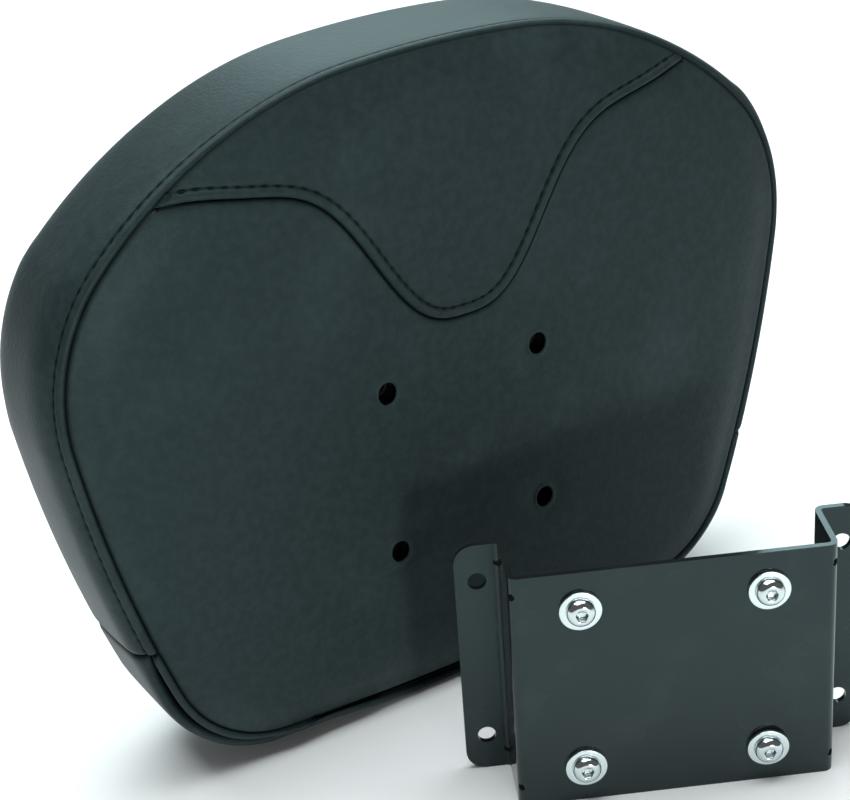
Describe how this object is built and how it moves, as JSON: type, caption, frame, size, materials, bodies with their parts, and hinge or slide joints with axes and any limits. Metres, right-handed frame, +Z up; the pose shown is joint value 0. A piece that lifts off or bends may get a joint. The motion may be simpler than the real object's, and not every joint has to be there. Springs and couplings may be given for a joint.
{
  "type": "sissy bar pad",
  "caption": "Upright black backrest pad with a stitched yoke seam and threaded inserts, with the folded steel bracket, button-head screws and flat washers that mount it.",
  "frame": {"origin": "centre of the pad's four threaded inserts, on the rear face of its base board", "axes": "+Z up, +X to the right as seen from the side that the screws enter, +Y through the pad towards its cushion"},
  "size_m": [0.3378, 0.2063, 0.275],
  "materials": {
    "cover": "black grained upholstery vinyl, semi-matte",
    "thread": "black bonded polyester thread",
    "board": "plywood, unfinished",
    "foam": "charcoal open-cell upholstery foam",
    "closure": "black hook and loop tape",
    "insert": "blackened steel",
    "bracket": "gloss black powder coat",
    "washer": "bright zinc",
    "screw": "bright polished"
  },
  "bodies": {
    "root": {"front_panel": "cover", "side_band": "cover", "bottom_band": "cover", "rear_main_panel": "cover", "rear_yoke_panel": "cover", "base_board": "board", "foam_core": "foam", "rear_foam": "foam", "loop_strip": "closure", "hook_strip": "closure", "insert_upper_left": "insert", "insert_upper_right": "insert", "insert_lower_left": "insert", "insert_lower_right": "insert", "mounting_bracket": "bracket", "washer_upper_left": "washer", "washer_upper_right": "washer", "washer_lower_left": "washer", "washer_lower_right": "washer", "screw_upper_left": "screw", "screw_upper_right": "screw", "screw_lower_left": "screw", "screw_lower_right": "screw"}
  },
  "joints": []
}
